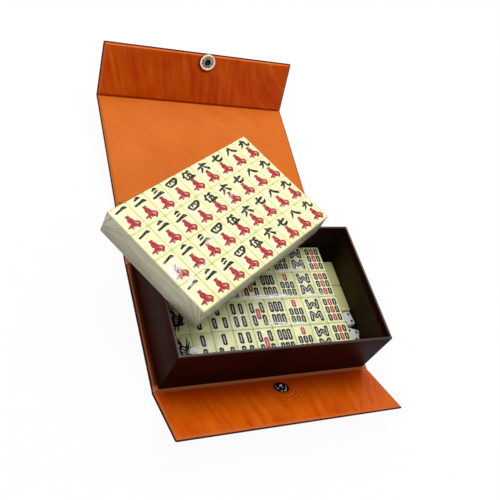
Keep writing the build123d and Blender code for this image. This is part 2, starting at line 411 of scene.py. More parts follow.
def film_colour(name, main, painted_hollow_shade, light, gloss, stud=(0, 500), painted_light_end=None, finer=1.0):
    """Orange film, with painted shade in the hollows of its ripples and painted highlight on their
    crests, fine satin streaks, a painted shadow round the press stud, painted light towards one end
    where given, and a pale weld bead close inside its edge, painted as a highlight."""
    finish = Finish(name)
    panel_mm = finish.node("Attribute", {"attribute_name": "panel_mm"}, {}, "Vector")
    streak_mm = finish.node("Attribute", {"attribute_name": "streak_mm"}, {}, "Vector")
    raised = finish.node("Attribute", {"attribute_name": "raised_mm"}, {}, "Fac")
    fine = finish.cloud(
        finish.stretched(streak_mm, (0.42 * finer, 0.045 * finer, 0)), 1.0, 3.0, 0.6, 0.4
    )
    clouds = finish.cloud(finish.stretched(panel_mm, (0.035, 0.035, 0)), 1.0, 2.0)
    edge = finish.node("SeparateXYZ", {}, {"Vector": panel_mm}, "Z")
    hinge = finish.node("SeparateXYZ", {}, {"Vector": panel_mm}, "Y")
    height = raised + 0.3 * (fine - 0.5)
    # painted shade in the ripples' hollows and painted highlight on their crests, taken from the
    # ripple height and the fine streaks
    hollow = 1 - finish.fade(height, -0.16, 0.04)
    painted_crest_highlight = finish.fade(height, 0.03, 0.2)
    colour = finish.mix(hollow * 0.65, shade(*main), shade(*painted_hollow_shade))
    colour = finish.mix(painted_crest_highlight * 0.65, colour, shade(*light))
    colour = finish.mix(finish.fade(clouds, 0.4, 0.7) * 0.3, colour, shade(*light))
    # painted light towards one end, lifting the shade there
    if painted_light_end:
        start, end, painted_light_colour = painted_light_end
        low = 1 - finish.fade(hinge, start, end)
        colour = finish.mix(low * 0.7, colour, shade(*painted_light_colour))
    # painted shadow round the press stud, set a little off its middle
    from_stud = finish.node(
        "VectorMath", {"operation": "DISTANCE"},
        {0: finish.stretched(panel_mm, (1, 1, 0)), 1: (stud[0] - 0.9, stud[1] - 0.9, 0)}, 1,
    )
    colour = finish.mix(
        (1 - finish.fade(from_stud, 7.0, 9.4)) * 0.85, colour, shade(70, 20, 4)
    )
    # painted highlight along the weld bead, a little inside the film's edge
    bead = finish.fade(edge, 0.35, 0.75) * (1 - finish.fade(edge, 1.0, 1.5))
    rim = 1 - finish.fade(edge, 0.0, 0.3)
    colour = finish.mix(bead * 0.4, colour, shade(232, 150, 90))
    colour = finish.mix(rim * 0.7, colour, shade(104, 46, 22))
    return finish.skin(
        Base_Color=colour,
        Roughness=0.34 + 0.14 * fine,
        Specular_IOR_Level=gloss,
        Normal=finish.bump(fine, 0.3, 0.0003),
    )


# One film, each panel given its own colour for how the light falls on it: painted light and shade.
# The base's film is the darkest, a painted shadow beside the tray; its front margin and the front
# flap near its hinge are painted lighter, painted light against the shade there.
film_finishes = {
    "base": film_colour(
        "orange_film_base", (104, 38, 12), (82, 26, 8), (130, 58, 22), 0.08,
        painted_light_end=(-50.0, -47.0, (226, 128, 70)),
    ),
    "spine": film_colour("orange_film_spine", (196, 88, 22), (168, 66, 12), (214, 110, 42), 0.1),
    "lid": film_colour(
        "orange_film_lid", (214, 108, 28), (204, 97, 20), (223, 121, 42), 0.05, finer=0.5
    ),
    "lid_flap": film_colour(
        "orange_film_lid_flap", (202, 74, 0), (178, 50, 0), (222, 106, 22), 0.07, socket_at
    ),
    "front_flap": film_colour(
        "orange_film_front_flap", (204, 84, 0), (180, 60, 0), (214, 102, 18), 0.08,
        painted_light_end=(2.0, 24.0, (226, 68, 2)),
    ),
}
stud_holes = {"lid_flap": (socket_at, 5.6), "front_flap": (eyelet_at, 2.2)}

for panel, (place, low, high, free_end, body) in panels.items():
    top_low = low + board_setback - film_over_board
    top_high = high - (board_margin if free_end else board_setback) + film_over_board
    half_top = half_board + film_over_board
    film_high = high - (film_inset if free_end else 0)
    cell = 0.7 if free_end else 1.2
    bm = bmesh.new()
    bmesh.ops.create_grid(
        bm, x_segments=round(2 * half_top / cell), y_segments=round((top_high - top_low) / cell),
        size=0.5,
    )
    bmesh.ops.scale(bm, vec=(2 * half_top, top_high - top_low, 1), verts=bm.verts)
    bmesh.ops.translate(bm, vec=(0, (top_low + top_high) / 2, board_top), verts=bm.verts)
    for vert in bm.verts:
        inside = min(half_top - abs(vert.co.x), vert.co.y - top_low, top_high - vert.co.y)
        settle = min(1.0, max(0.0, inside / 5))
        vert.co.z += settle * ripple(panel, vert.co.x, vert.co.y)
    foot = film_foot - film_over_board
    for step, height in ((0.12, 1.1), (0.3, 0.7), (0.42, 0.15), (foot, 0.0)):
        widen(bm, half_top + step, top_low - step, top_high + step, height)
    widen(bm, half_cover - film_inset, low, film_high, 0.0)
    if free_end:
        corners = [v for v in bm.verts if v.co.y > film_high - 0.01 and abs(v.co.x) > 88.3]
        bmesh.ops.bevel(
            bm, geom=corners, offset=1.0, segments=4, profile=0.5, affect="VERTICES", material=-1
        )
        stud_at, hole_radius = stud_holes[panel]
        hole = [
            face for face in bm.faces
            if (face.calc_center_median().xy - Vector(stud_at)).length < hole_radius
        ]
        bmesh.ops.delete(bm, geom=hole, context="FACES")
    bmesh.ops.solidify(bm, geom=bm.faces, thickness=film_sheet_thickness)
    lining = make_piece(panel + "_film", bm, film_finishes[panel])
    spots = []
    starts = []
    heights = []
    for vert in lining.data.vertices:
        x, y, z = vert.co
        to_side = half_cover - film_inset - abs(x)
        to_end = film_high - y if free_end else to_side
        spots.extend((x, y, min(to_side, to_end, 20.0)))
        starts.extend((streak_start(panel, x, y), y, 0.0))
        heights.append(ripple(panel, x, y))
    for attribute, values in (("panel_mm", spots), ("streak_mm", starts)):
        kept = lining.data.attributes.new(attribute, "FLOAT_VECTOR", "POINT")
        kept.data.foreach_set("vector", values)
    raised_mm = lining.data.attributes.new("raised_mm", "FLOAT", "POINT")
    raised_mm.data.foreach_set("value", heights)
    lining.data.transform(place)
    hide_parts(panel + "_lining")
    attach(lining, body)

# ------------------------------------------------------------ cover: creases between panels
# Between two boards the film and the leatherette are welded flat together. The weld bends as the
# cover opens: orange inside, with a dark line of painted shade along the bend, and brown outside.

crease_reach = 2.0


def crease_film(name, bend_shade_depth, bend_shade_half, low=(214, 104, 40), high=(234, 136, 66)):
    """The weld's film side: orange, with a maroon line of painted shade along the bend."""
    finish = Finish(name)
    panel_mm = finish.node("Attribute", {"attribute_name": "panel_mm"}, {}, "Vector")
    across = finish.node("SeparateXYZ", {}, {"Vector": panel_mm}, "Y")
    from_bend = across.math("ABSOLUTE", across)
    streak = finish.cloud(finish.stretched(panel_mm, (0.15, 0.6, 0)), 1.0, 3.0)
    line = 1 - finish.fade(from_bend, bend_shade_half / 2, bend_shade_half)
    colour = finish.mix(streak, shade(*low), shade(*high))
    colour = finish.mix(line * bend_shade_depth, colour, shade(92, 26, 10))
    return finish.skin(
        Base_Color=colour, Roughness=0.35, Specular_IOR_Level=0.3,
        Normal=finish.bump(streak, 0.2, 0.0002),
    )


# the lid flap's crease takes the widest and darkest painted shade; the front crease is painted
# lighter, painted light against the shade between the tray and the front flap
painted_shade_crease = crease_film("orange_film_dark_crease", 0.9, 0.9)
pale_crease = crease_film("orange_film_pale_crease", 0.6, 0.4)
front_crease_painted_light = crease_film(
    "orange_film_front_crease", 0.5, 0.4, low=(248, 150, 84), high=(255, 184, 124)
)
creases = (
    ("spine", "case", (53.1, 0.7, 0.0, False), 6.0, pale_crease),
    ("lid", "spine", (102.6272, 5.9055, 6.0, False), 0.0, pale_crease),
    ("lid_flap", "lid", (211.6268, 17.3618, 6.0, False), 57.5, painted_shade_crease),
    ("front_flap", "case", (-53.6, 0.7, 0.0, True), 28.5, front_crease_painted_light),
)
for panel, neighbour_body, hinge, bend, crease_finish in creases:
    place = seat(*hinge)
    for side, material, slot, low, high, half_width in (
        ("film", crease_finish, "orange_film", -0.12, 0.03, half_cover - film_inset),
        ("skin", cover_leatherette, "leatherette", -0.71, -0.5, half_cover),
    ):
        bm = bmesh.new()
        bmesh.ops.create_grid(bm, x_segments=60, y_segments=12, size=0.5)
        bmesh.ops.scale(bm, vec=(2 * half_width, 2 * crease_reach, 1), verts=bm.verts)
        bmesh.ops.translate(bm, vec=(0, 0, high), verts=bm.verts)
        bmesh.ops.solidify(bm, geom=bm.faces, thickness=high - low)
        points = [vert.co.copy() for vert in bm.verts]
        for vert in bm.verts:
            along = min(1.0, max(0.0, (vert.co.y + crease_reach) / (2 * crease_reach)))
            turn = math.radians(bend) * along * along * (3 - 2 * along)
            vert.co = Matrix.Rotation(turn, 4, "X") @ vert.co
        strip = make_piece(f"{panel}_crease_{side}", bm, material)
        panel_mm = strip.data.attributes.new("panel_mm", "FLOAT_VECTOR", "POINT")
        for point, old in zip(panel_mm.data, points):
            point.vector = old
        strip.data.transform(place)
        start = place @ Vector((0, -crease_reach, 0))
        end_turn = Matrix.Rotation(math.radians(bend), 4, "X")
        end = place @ (end_turn @ Vector((0, crease_reach, 0)))
        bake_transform(strip)

# ------------------------------------------------------------ press stud
# A plated brass press stud, riveted through the flaps. The lid flap carries the socket, its spring
# wire and the cap outside; the front flap carries the stud outside and a darker eyelet, whose tube
# ends in petals, on the orange film. The plating comes in lit and shaded copies: pale nickel is a
# painted highlight on the socket's rim and the eyelet's lit parts, and dark plating is painted
# shade in the socket's bore and slots and on the eyelet's far petals, and a painted reflection of
# the dark tray on the eyelet's flange.


def plated(name, light, dark, roughness, metallic=1.0):
    """Nickel plating with fine scratches and a little tarnish."""
    finish = Finish(name)
    place = finish.place()
    scratches = finish.cloud(finish.stretched(place, (300, 4000, 4000), 25), 1.0, 3.0)
    tarnish = finish.cloud(place, 500.0, 4.0)
    return finish.skin(
        Base_Color=finish.mix(finish.fade(tarnish, 0.4, 0.7), shade(*light), shade(*dark)),
        Metallic=metallic,
        Roughness=roughness + 0.15 * scratches,
    )


# lit and shaded copies of the plating: the pale pinkish nickel is a painted highlight on the
# socket's rim; the dark copy dresses the spring wire and is painted shade and painted reflection on
# the socket and the eyelet
painted_highlight_nickel = plated("painted_highlight_nickel", (252, 228, 208), (232, 204, 184), 0.3)
nickel = plated("plated_nickel", (158, 158, 148), (112, 114, 104), 0.3)
dark_nickel = plated("plated_dark_nickel", (34, 33, 35), (18, 17, 19), 0.2)
for node in ("snap_cap", "snap_stud"):
    dress(node, nickel)
dress("snap_spring", dark_nickel)


def spun(name, points, place, material, slot, body, *nodes):
    """A turned piece: a profile of (radius, height) in millimetres, spun about its Z axis."""
    bm = bmesh.new()
    verts = [bm.verts.new((radius, 0, height)) for radius, height in points]
    for first, second in zip(verts, verts[1:]):
        bm.edges.new((first, second))
    bmesh.ops.spin(
        bm, geom=bm.verts[:] + bm.edges[:], axis=(0, 0, 1), cent=(0, 0, 0),
        angle=2 * math.pi, steps=64, use_merge=True,
    )
    bmesh.ops.remove_doubles(bm, verts=bm.verts, dist=0.0005)
    bmesh.ops.recalc_face_normals(bm, faces=bm.faces)
    bmesh.ops.transform(bm, matrix=place, verts=bm.verts)
    piece = make_piece(name, bm, material)
    if nodes:
        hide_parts(*nodes)
    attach(piece, body)


socket_place = panels["lid_flap"][0] @ Matrix.Translation((*socket_at, 0))
# the rolled rim in the pale nickel: a painted highlight
spun(
    "socket_rim",
    [
        (7.1, 1.1), (7.22, 1.24), (7.18, 1.44), (6.98, 1.6), (6.6, 1.7), (6.15, 1.7),
        (5.75, 1.62), (5.5, 1.48), (5.4, 1.3), (5.4, 1.1), (7.1, 1.1),
    ],
    socket_place, painted_highlight_nickel, "nickel", "lid_flap", "snap_socket",
)
spun(
    "socket_dish",
    [
        (5.45, 1.38), (5.2, 1.3), (4.3, 1.22), (3.7, 1.3), (3.3, 1.44), (3.05, 1.5),
        (2.8, 1.48), (2.7, 1.3), (2.7, 0.0), (3.9, 0.0), (3.9, 1.1), (5.45, 1.1), (5.45, 1.38),
    ],
    socket_place, nickel, "nickel", "lid_flap",
)
# the bore in the dark plating: painted shade in the hole
spun(
    "socket_bore",
    [(2.69, 1.4), (2.6, 0.3), (1.9, 0.2), (0.0, 0.17)],
    socket_place, dark_nickel, "dark_nickel", "lid_flap",
)
# dark lumps standing for the slots in the socket's dish: painted shade in the openings
bm = bmesh.new()
slot_height = 1.3
slot_thickness = 0.7
for angle, radius, length, width in (
    (166, 5.2, 2.6, 1.9), (194, 4.6, 1.3, 1.2), (-66, 4.9, 2.0, 0.5), (-97, 4.5, 1.6, 0.5)
):
    turn = Matrix.Rotation(math.radians(angle), 4, "Z")
    slot_shape = Matrix.Diagonal((length, width, slot_thickness, 1))
    bmesh.ops.create_icosphere(
        bm, subdivisions=2, radius=0.5,
        matrix=turn @ Matrix.Translation((radius, 0, slot_height)) @ slot_shape,
    )
bmesh.ops.transform(bm, matrix=socket_place, verts=bm.verts)
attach(make_piece("socket_slots", bm, dark_nickel), "lid_flap")

# pale copies of the plating as painted highlights on the eyelet: pinkish on its lit petals and
# near-white inside the tube's bore
painted_highlight_petal_nickel = plated("painted_highlight_petal_nickel", (255, 216, 190), (240, 192, 166), 0.4, 0.35)
silver = plated("painted_highlight_silver", (244, 244, 250), (222, 224, 232), 0.4, 0.3)
eyelet_place = panels["front_flap"][0] @ Matrix.Translation((*eyelet_at, 0))
# the flange in the dark plating: a painted reflection of the dark tray
spun(
    "eyelet_flange",
    [
        (5.85, 1.1), (5.85, 1.5), (5.6, 1.74), (5.2, 1.8), (4.7, 1.7), (4.4, 1.52), (3.4, 1.4),
        (2.2, 1.4), (2.2, 1.2), (1.25, 1.2), (1.25, -2.5), (0.0, -2.5),
    ],
    eyelet_place, dark_nickel, "dark_nickel", "front_flap", "snap_eyelet",
)
petal_height = 1.45
petal_thickness = 0.9
# the tube's split end, rolled out into petals: x, y, length, width and turn of each; the lit ones
# take a painted highlight, the others painted shade
painted_highlight_petals = (
    (-3.9, -1.0, 1.6, 0.9, 70), (-2.9, 1.8, 2.4, 1.1, 62), (-1.2, 4.1, 2.8, 1.2, 20),
    (1.8, 4.1, 2.0, 1.4, -32), (3.5, 0.6, 1.8, 1.2, -60), (4.3, -1.8, 1.2, 0.9, 80),
)
painted_shade_petals = ((2.6, -3.6, 1.7, 1.1, 40), (-2.8, -3.3, 1.7, 1.1, -50), (0.4, -4.6, 1.7, 1.0, 0))
# a near-white patch of painted highlight inside the tube's bore, and the bore's wall in nickel
bore_end_highlight = ((-0.5, -2.4, 3.2, 2.0, 22),)
bore_wall = ((-0.9, -0.3, 2.6, 1.9, 60),)
for name, petals, material, slot in (
    ("eyelet_petals", painted_highlight_petals, painted_highlight_petal_nickel, "nickel"),
    ("eyelet_painted_shade_petals", painted_shade_petals, dark_nickel, "dark_nickel"),
    ("eyelet_bore_highlight", bore_end_highlight, silver, "nickel"),
    ("eyelet_bore_wall", bore_wall, nickel, "nickel"),
):
    bm = bmesh.new()
    for x, y, length, width, turn in petals:
        shape = Matrix.Diagonal((length, width, petal_thickness, 1))
        bmesh.ops.create_icosphere(
            bm, subdivisions=3, radius=0.5,
            matrix=Matrix.Translation((x, y, petal_height))
            @ Matrix.Rotation(math.radians(turn), 4, "Z") @ shape,
        )
    bmesh.ops.transform(bm, matrix=eyelet_place, verts=bm.verts)
    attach(make_piece(name, bm, material), "front_flap")

# ------------------------------------------------------------ tray
# Five boards glued into a tray. One sheet of leatherette wraps it: under the bottom's edge, up
# the outside, over the rim and down inside as a hem; dark paper covers the rest inside.

for wall in ("bottom", "front", "back", "left", "right"):
    dress(f"tray_{wall}_board", board_finish)

tray_leatherette = leatherette("leatherette_tray", (38, 8, 3), (52, 17, 7), 0.01, 0.0484)


def dark_paper(name):
    """Dull brown-black paper with a faint laid grain."""
    finish = Finish(name)
    place = finish.place()
    laid = finish.cloud(finish.stretched(place, (200, 1400, 1400)), 1.0, 3.0)
    clouds = finish.cloud(place, 22.0, 4.0)
    colour = finish.mix(finish.fade(clouds, 0.35, 0.7), shade(20, 10, 2), shade(60, 40, 10))
    return finish.skin(
        Base_Color=finish.mix(laid * 0.3, colour, shade(14, 8, 4)),
        Roughness=0.62,
        Specular_IOR_Level=0.12,
        Normal=finish.bump(laid, 0.3, 0.0001),
    )


paper_finish = dark_paper("dark_paper")
dress("tray_lining", paper_finish)
dress("tray_insert", paper_finish)

tray_half_x = 85.0
tray_half_y = 51.5
tray_low = 1.9
tray_rim = 48.9
rim_radius = 0.8
wall_thickness = 2.0
hem_depth = 6.0
turn_in = 8.0
wrap_paper = 0.25

bm = bmesh.new()
bmesh.ops.create_grid(bm, x_segments=1, y_segments=1, size=0.5)
bmesh.ops.scale(
    bm, vec=(2 * (tray_half_x - turn_in), 2 * (tray_half_y - turn_in), 1), verts=bm.verts
)
bmesh.ops.translate(bm, vec=(0, 0, tray_low), verts=bm.verts)
middle = list(bm.faces)


def wrap_ring(inset, height):
    widen(bm, tray_half_x - inset, inset - tray_half_y, tray_half_y - inset, height)


wrap_ring(rim_radius / 2, tray_low)
wrap_ring(0, tray_low + rim_radius / 2)
wrap_ring(0, tray_rim - rim_radius)
for step in range(1, 5):
    turn = math.radians(90 * step / 4)
    wrap_ring(rim_radius * (1 - math.cos(turn)), tray_rim - rim_radius * (1 - math.sin(turn)))
for step in range(1, 5):
    turn = math.radians(90 * step / 4)
    inset = wall_thickness - rim_radius * (1 - math.sin(turn))
    wrap_ring(inset, tray_rim - rim_radius * (1 - math.cos(turn)))
wrap_ring(wall_thickness, tray_rim - hem_depth)
bmesh.ops.delete(bm, geom=middle, context="FACES_ONLY")


def on_corner(vert):
    """Whether the wrap turns round one of the tray's four corners here."""
    to_side = tray_half_x - abs(vert.co.x)
    to_end = tray_half_y - abs(vert.co.y)
    return abs(to_side - to_end) < 0.01 and to_side < turn_in - 1


upright = [
    edge for edge in bm.edges
    if not edge.is_boundary and all(on_corner(vert) for vert in edge.verts)
    and (edge.verts[0].co.xy - edge.verts[1].co.xy).length < 3
]
bmesh.ops.bevel(
    bm, geom=upright, offset=0.7, segments=3, profile=0.5, affect="EDGES", material=-1
)
bmesh.ops.recalc_face_normals(bm, faces=bm.faces)
bmesh.ops.transform(bm, matrix=Matrix.Scale(mm, 4), verts=bm.verts)
wrap = make_piece("tray_leatherette_wrap", bm, tray_leatherette)
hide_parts("tray_wrap")
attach(wrap, "case")

# ------------------------------------------------------------ tiles
# Cast cream-coloured tiles with rounded edges, engraved and painted by hand. A pack is two
# layers of nine by four; only the top layer shows its faces.

tile_size = (16.15, 23.35, 10.45)
tile_pitch = (16.2, 23.4, 10.5)
tile_rounding = 1.0
pack_half = (73.0, 46.9)
pack_height = 21.2
pack_film_gap = 0.125
tile_top = pack_height - pack_film_gap


def cast_tile(name, light, dark):
    """Cream melamine, slightly mottled, with a soft polish."""
    finish = Finish(name)
    place = finish.place()
    mottle = finish.cloud(place, 90.0, 3.0)
    polish = finish.cloud(place, 900.0, 2.0)
    return finish.skin(
        Base_Color=finish.mix(finish.fade(mottle, 0.3, 0.7), shade(*light), shade(*dark)),
        Roughness=0.24 + 0.12 * polish,
    )


def paint(name, colour, thin):
    """Enamel paint in the engraved lines, thinner and lighter in places."""
    finish = Finish(name)
    wear = finish.cloud(finish.place(), 700.0, 3.0)
    return finish.skin(
        Base_Color=finish.mix(finish.fade(wear, 0.45, 0.75) * 0.5, shade(*colour), shade(*thin)),
        Roughness=0.45,
        Specular_IOR_Level=0.1,
    )


# One tile material in three copies: the lower pack's and the spares' are darker, painted shade for
# lying down in the tray.
top_tile_finish = cast_tile("cast_tile_top", (250, 246, 198), (245, 240, 184))
shaded_lower_tile_finish = cast_tile("cast_tile_lower_painted_shade", (234, 234, 188), (226, 228, 176))
shaded_spare_tile_finish = cast_tile("cast_tile_spare_painted_shade", (226, 224, 164), (216, 214, 152))
black_paint = paint("black_paint", (6, 9, 6), (20, 26, 22))
navy_paint = paint("navy_paint", (18, 20, 30), (38, 40, 54))
red_paint = paint("red_paint", (172, 8, 36), (184, 30, 50))
scarlet_paint = paint("scarlet_paint", (190, 34, 34), (208, 74, 66))


def add_tile(bm, x, y, z):
    """Adds one rounded tile whose middle is at the point."""
    cube = bmesh.ops.create_cube(bm, size=1.0)["verts"]
    bmesh.ops.scale(bm, vec=tile_size, verts=cube)
    edges = list({edge for vert in cube for edge in vert.link_edges})
    made = bmesh.ops.bevel(
        bm, geom=edges, offset=tile_rounding, segments=3, profile=0.5, affect="EDGES", material=-1
    )
    verts = {vert for face in made["faces"] for vert in face.verts}
    bmesh.ops.translate(bm, vec=(x, y, z), verts=list(verts))


lower_place = Matrix.Translation((-6.9 * mm, -0.7 * mm, 6.05 * mm)) @ Matrix.Scale(mm, 4)
top_place = (
    Matrix.Translation((-33.2 * mm, 46.5 * mm, 48.9 * mm))
    @ Matrix.Rotation(math.radians(32.0), 4, "Z")
    @ Matrix.Scale(mm, 4)
)
packs = {
    "lower": (lower_place, "lower_pack", shaded_lower_tile_finish),
    "top": (top_place, "top_pack", top_tile_finish),
}
for pack, (place, body, finish) in packs.items():
    for layer in range(2):
        bm = bmesh.new()
        for row in range(4):
            for column in range(9):
                add_tile(
                    bm,
                    (column - 4) * tile_pitch[0],
                    (row - 1.5) * tile_pitch[1],
                    pack_film_gap + tile_size[2] / 2 + layer * tile_pitch[2],
                )
        bmesh.ops.transform(bm, matrix=place, verts=bm.verts)
        tiles = make_piece(f"{pack}_pack_tiles_{layer + 1}", bm, finish)
        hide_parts(f"{pack}_tiles_{layer + 1}")
        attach(tiles, body)

# ------------------------------------------------------------ painted marks
# The top pack shows the character suit: a black numeral over the red character for ten
# thousand. The lower pack shows the bamboo suit: a bird, then two to nine sticks.

# brush strokes on a field of ten by ten: points of (x, y, brush width); low ones run past it
numerals = [
    [[(0.3, 4.6, 0.9), (1.8, 5.0, 1.1), (4.6, 5.8, 1.15), (7.2, 6.9, 1.3), (8.6, 6.8, 1.9),
      (9.8, 5.4, 0.5)]],
    [
        [(2.5, 6.9, 0.9), (4.2, 7.9, 1.1), (6.2, 9.1, 1.8), (7.6, 7.5, 0.5)],
        [(0.1, 1.8, 1.1), (3.4, 2.3, 1.2), (7.2, 3.5, 1.5), (8.6, 3.5, 1.9), (10.0, 1.6, 0.5)],
    ],
    [
        [(3.0, 6.8, 0.8), (4.6, 7.8, 1.1), (6.2, 8.8, 1.7), (7.6, 7.0, 0.4)],
        [(3.0, 3.9, 0.9), (5.0, 4.9, 1.1), (7.2, 5.3, 0.7)],
        [(0.0, -0.6, 1.1), (3.4, 0.0, 1.3), (7.0, 1.1, 1.6), (8.6, 1.2, 1.9), (10.0, -0.6, 0.5)],
    ],
    [
        [(0.3, 6.3, 1.2), (0.9, 4.0, 1.2), (2.4, 0.6, 1.3)],
        [(0.5, 6.1, 0.9), (4.4, 7.0, 1.0), (8.9, 7.9, 1.2)],
        [(8.5, 7.9, 1.2), (9.9, 7.2, 1.9), (8.7, 3.8, 1.4), (6.8, 1.1, 1.1)],
        [(2.2, 0.9, 1.0), (7.0, 1.8, 1.1)],
        [(4.3, 6.8, 1.0), (4.1, 4.6, 1.0), (3.2, 3.4, 0.7)],
        [(6.4, 7.2, 1.0), (5.9, 4.0, 1.0), (7.4, 4.1, 0.9)],
    ],
    [
        [(3.5, 8.6, 1.5), (2.3, 5.2, 1.3), (0.0, 2.3, 0.5)],
        [(1.9, 5.2, 1.2), (2.0, 1.4, 1.2), (2.4, -2.2, 1.3)],
        [(4.1, 6.5, 1.0), (6.0, 7.3, 1.1), (8.1, 7.8, 1.5)],
        [(6.2, 7.3, 1.1), (5.6, 3.2, 1.0), (4.6, -0.8, 1.1)],
        [(3.9, 3.1, 0.9), (6.0, 3.7, 1.0), (7.8, 4.1, 1.4)],
        [(7.6, 4.0, 1.2), (7.6, 1.7, 1.1), (7.0, -0.5, 1.0)],
        [(3.2, -1.5, 1.1), (6.4, -0.8, 1.5), (8.9, 0.1, 1.9), (10.0, -1.5, 0.5)],
    ],
    [
        [(4.2, 8.8, 0.9), (5.0, 7.8, 1.3), (5.8, 6.4, 1.7)],
        [(0.2, 3.4, 1.1), (4.0, 4.6, 1.1), (8.4, 6.4, 1.7), (9.9, 4.6, 0.5)],
        [(4.3, 3.0, 1.5), (3.2, 0.0, 1.3), (0.6, -2.8, 0.5)],
        [(5.8, 3.5, 0.8), (7.2, 1.3, 1.4), (9.2, -2.0, 1.9)],
    ],
    [
        [(0.2, 2.9, 1.1), (4.0, 4.3, 1.1), (8.2, 6.0, 1.6), (9.6, 6.2, 0.7)],
        [(4.7, 9.0, 1.7), (4.3, 5.0, 1.3), (4.2, 1.4, 1.3)],
        [(4.2, 2.0, 1.2), (4.4, -0.1, 1.5), (7.2, 0.1, 1.4), (9.3, 0.9, 1.2), (9.6, 3.2, 0.4)],
    ],
    [
        [(4.2, 7.2, 1.6), (3.4, 3.6, 1.3), (0.2, -0.4, 0.5)],
        [(5.0, 8.8, 1.1), (5.8, 5.0, 1.4), (7.8, 1.8, 1.8), (10.0, 0.0, 1.3)],
    ],
    [
        [(4.7, 9.0, 1.5), (4.4, 4.6, 1.3), (2.9, 1.4, 1.1), (0.2, -0.8, 0.4)],
        [(0.8, 4.2, 1.0), (4.0, 5.4, 1.1), (7.0, 6.4, 1.5)],
        [(6.7, 6.4, 1.5), (6.4, 3.4, 1.2), (6.7, 0.6, 1.3)],
        [(6.6, 1.2, 1.2), (7.0, -0.3, 1.4), (9.3, -0.2, 1.3), (9.8, 2.4, 0.4)],
    ],
]
ten_thousand = [
    [(3.7, 9.2, 0.9), (5.0, 9.3, 0.9), (6.3, 9.5, 0.9)],
    [(4.2, 9.9, 1.1), (4.6, 8.2, 0.9)],
    [(6.1, 9.9, 1.1), (5.7, 8.2, 0.9)],
    [(4.2, 7.8, 1.1), (3.9, 6.6, 1.1), (3.6, 5.2, 1.2)],
    [(4.1, 7.9, 0.9), (6.1, 8.0, 0.9)],
    [(6.1, 7.9, 1.1), (6.5, 7.0, 1.1), (6.7, 5.2, 1.2)],
    [(3.0, 6.2, 1.0), (5.0, 6.4, 1.0), (7.4, 6.2, 1.0)],
    [(3.6, 5.1, 1.0), (6.8, 5.2, 1.0)],
    [(5.2, 7.8, 1.3), (5.1, 4.6, 1.4), (5.1, 1.7, 1.2)],
    [(4.4, 4.6, 1.2), (4.7, 3.0, 1.2), (5.0, 1.6, 1.0)],
    [(5.9, 4.6, 1.2), (5.6, 3.0, 1.2), (5.2, 1.6, 1.0)],
    [(0.0, 2.6, 0.5), (1.4, 2.8, 1.1), (3.0, 3.2, 1.2), (4.6, 4.0, 1.1)],
    [(6.6, 4.9, 0.9), (8.2, 4.4, 1.1), (9.5, 3.0, 1.3)],
    [(9.6, 3.1, 1.3), (8.4, 1.7, 1.2), (6.7, 0.2, 0.8)],
    [(6.2, 3.6, 1.0), (7.2, 2.9, 1.0), (7.4, 1.9, 0.9)],
    [(3.3, 3.6, 1.1), (3.1, 2.2, 1.1), (2.8, 0.8, 0.9)],
    [(5.6, 2.3, 1.0), (6.6, 1.6, 0.9), (7.2, 1.0, 0.8)],
]
bird = [
    [(0.4, 6.9, 0.3), (1.6, 7.7, 0.9), (3.0, 8.3, 1.8), (4.4, 7.9, 1.5), (4.9, 6.4, 1.1)],
    [(4.9, 6.8, 1.1), (3.2, 5.2, 1.5), (3.2, 3.2, 1.9), (5.2, 2.2, 1.6), (7.4, 3.0, 1.0)],
    [(4.6, 6.4, 0.8), (6.6, 6.2, 0.8), (8.0, 4.8, 0.9), (8.8, 2.4, 0.5)],
    [(4.8, 5.3, 0.8), (6.4, 4.9, 0.8), (7.6, 3.4, 0.5)],
    [(4.4, 4.2, 0.8), (5.8, 3.9, 0.8), (6.8, 3.2, 0.5)],
    [(6.6, 3.4, 1.2), (7.8, 6.0, 1.0), (9.0, 9.9, 0.3)],
    [(6.9, 3.2, 1.1), (8.6, 5.4, 0.9), (9.9, 8.4, 0.3)],
    [(7.0, 2.9, 1.0), (9.0, 4.2, 0.8), (10.0, 6.2, 0.3)],
    [(7.0, 2.4, 0.8), (8.8, 2.4, 0.7), (10.0, 3.4, 0.3)],
    [(4.2, 2.4, 0.7), (4.1, 0.8, 0.6), (2.6, 0.1, 0.5)],
    [(5.7, 2.2, 0.7), (5.9, 0.8, 0.6), (4.6, 0.0, 0.5)],
    [(3.0, 8.8, 0.5), (2.8, 9.6, 0.4), (3.4, 10.0, 0.3)],
    [(3.8, 8.9, 0.5), (4.4, 9.6, 0.4), (5.2, 9.7, 0.3)],
]
mark_lift = 0.004
mark_thickness = 0.016


def brush(strokes, centre, size, bold=1.0, kind="NURBS"):
    """A curve object of brush strokes, whose field of ten is fitted to the size."""
    curve = bpy.data.curves.new("strokes", "CURVE")
    curve.dimensions = "3D"
    curve.bevel_depth = 0.5
    curve.bevel_resolution = 0
    curve.use_fill_caps = True
    for stroke in strokes:
        spline = curve.splines.new(kind)
        spline.points.add(len(stroke) - 1)
        for point, (x, y, width) in zip(spline.points, stroke):
            place_x = centre[0] + (x / 10 - 0.5) * size[0]
            place_y = centre[1] + (y / 10 - 0.5) * size[1]
            point.co = (place_x, place_y, 0, 1)
            point.radius = width * bold * size[0] / 10
        if kind == "NURBS":
            spline.order_u = 3
            spline.use_endpoint_u = True
            spline.resolution_u = 4
    return curve


